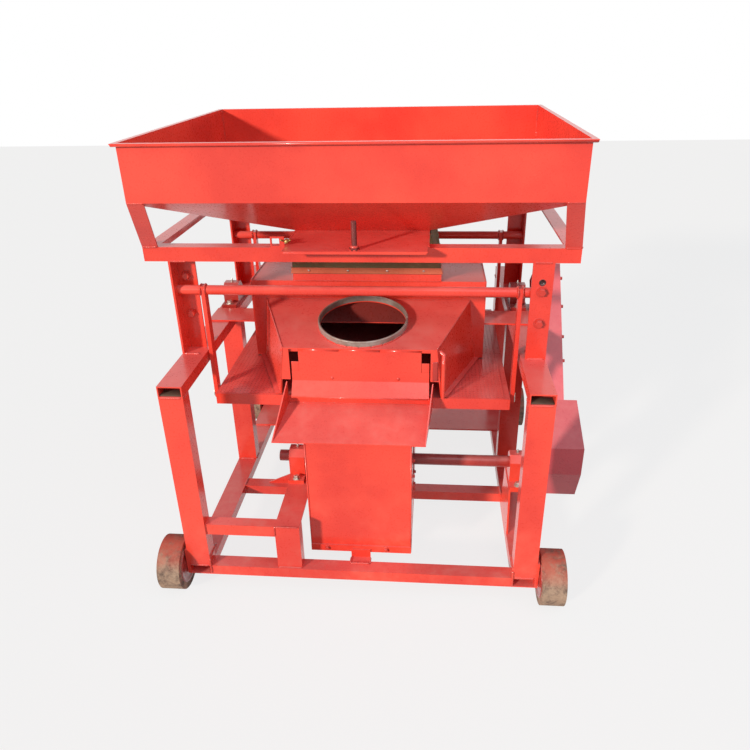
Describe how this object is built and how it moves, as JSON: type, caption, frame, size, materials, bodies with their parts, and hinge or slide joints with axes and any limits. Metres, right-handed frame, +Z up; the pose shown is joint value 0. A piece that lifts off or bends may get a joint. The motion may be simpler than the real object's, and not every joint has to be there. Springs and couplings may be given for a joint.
{
  "type": "peanut sheller",
  "caption": "Floor-standing peanut sheller with a hopper, a feed gate, a beater drum, a hung shaking sieve, a fan and a guarded belt drive.",
  "frame": {"origin": "bottom centre of the machine's overall box, on the ground", "axes": "+Z up, +X to the operator's right, +Y from the front to the back"},
  "size_m": [1.114, 1.054, 1.15],
  "materials": {
    "red_paint": "gloss",
    "bare_steel": "satin",
    "canvas": "matte",
    "rubber": "matte",
    "painted_iron": "satin",
    "belt_rubber": "matte"
  },
  "bodies": {
    "frame": {"rail_lower_left": "red_paint", "rail_lower_right": "red_paint", "rail_upper_left": "red_paint", "rail_upper_right": "red_paint", "leg_front_left": "red_paint", "leg_middle_left": "red_paint", "leg_rear_left": "red_paint", "leg_front_right": "red_paint", "leg_middle_right": "red_paint", "leg_rear_right": "red_paint", "cross_bar_front": "red_paint", "motor_base": "red_paint", "upright_front_left": "red_paint", "upright_rear_left": "red_paint", "upright_front_right": "red_paint", "upright_rear_right": "red_paint", "hopper_ring": "red_paint", "hopper_band": "red_paint", "hopper_funnel": "red_paint", "gate_runner_left": "red_paint", "gate_runner_right": "red_paint", "feed_sleeve": "canvas", "feed_collar": "red_paint", "drum_side_left": "red_paint", "drum_side_right": "red_paint", "drum_cover": "red_paint", "dust_hood": "red_paint", "duct_ring": "bare_steel", "drum_concave": "bare_steel", "drum_bearing_left": "painted_iron", "drum_bearing_right": "painted_iron", "fan_volute": "red_paint", "fan_cradle": "red_paint", "fan_bracket": "red_paint", "fan_bearing_left": "painted_iron", "fan_bearing_right": "painted_iron", "drive_belt": "belt_rubber", "belt_guard": "red_paint", "axle_front_left": "red_paint", "axle_rear_left": "red_paint", "axle_front_right": "red_paint", "axle_rear_right": "red_paint"},
    "gate": {"gate_plate": "bare_steel", "gate_screw": "bare_steel"},
    "drum": {"drum_shaft": "bare_steel", "drum_beaters": "painted_iron", "drum_pulley": "painted_iron"},
    "fan": {"fan_shaft": "bare_steel", "fan_impeller": "red_paint", "fan_pulley": "painted_iron"},
    "hanger_a": {"hanger_front": "red_paint"},
    "hanger_b": {"hanger_rear": "red_paint"},
    "sieve": {"sieve_tray": "red_paint", "discharge_chute": "red_paint"},
    "flap": {"flap_rod": "red_paint", "flap_plate": "red_paint"},
    "wheel_front_left": {"wheel_front_left": "rubber"},
    "wheel_rear_left": {"wheel_rear_left": "rubber"},
    "wheel_front_right": {"wheel_front_right": "rubber"},
    "wheel_rear_right": {"wheel_rear_right": "rubber"}
  },
  "joints": [
    {"name": "gate_slide", "type": "slide", "parent": "frame", "child": "gate", "axis": [0, -1, 0], "range_m": [0, 0.25]},
    {"name": "drum_spin", "type": "hinge", "parent": "frame", "child": "drum", "pos_m": [-0.023, 0.1, 0.655], "axis": [1, 0, 0], "continuous": true},
    {"name": "fan_spin", "type": "hinge", "parent": "frame", "child": "fan", "pos_m": [-0.023, -0.22, 0.2703], "axis": [1, 0, 0], "continuous": true},
    {"name": "sieve_swing", "type": "hinge", "parent": "frame", "child": "hanger_a", "pos_m": [-0.023, -0.265, 0.785], "axis": [1, 0, 0], "range_deg": [-4, 4]},
    {"name": "sieve_level", "type": "hinge", "parent": "hanger_a", "child": "sieve", "pos_m": [-0.023, -0.265, 0.5], "axis": [1, 0, 0], "range_deg": [-4, 4]},
    {"name": "rear_swing", "type": "hinge", "parent": "frame", "child": "hanger_b", "pos_m": [-0.023, 0.265, 0.785], "axis": [1, 0, 0], "range_deg": [-4, 4]},
    {"name": "flap_lift", "type": "hinge", "parent": "frame", "child": "flap", "pos_m": [-0.023, -0.298, 0.64], "axis": [1, 0, 0], "range_deg": [-70, 0]},
    {"name": "wheel_spin_front_left", "type": "hinge", "parent": "frame", "child": "wheel_front_left", "pos_m": [-0.523, -0.455, 0.072], "axis": [1, 0, 0], "continuous": true},
    {"name": "wheel_spin_rear_left", "type": "hinge", "parent": "frame", "child": "wheel_rear_left", "pos_m": [-0.523, 0.455, 0.072], "axis": [1, 0, 0], "continuous": true},
    {"name": "wheel_spin_front_right", "type": "hinge", "parent": "frame", "child": "wheel_front_right", "pos_m": [0.477, -0.455, 0.072], "axis": [1, 0, 0], "continuous": true},
    {"name": "wheel_spin_rear_right", "type": "hinge", "parent": "frame", "child": "wheel_rear_right", "pos_m": [0.477, 0.455, 0.072], "axis": [1, 0, 0], "continuous": true}
  ],
  "couplings": [
    {"joint": "fan_spin", "follows": "drum_spin", "ratio": 1.25},
    {"joint": "sieve_level", "follows": "sieve_swing", "ratio": -1},
    {"joint": "rear_swing", "follows": "sieve_swing", "ratio": 1}
  ]
}
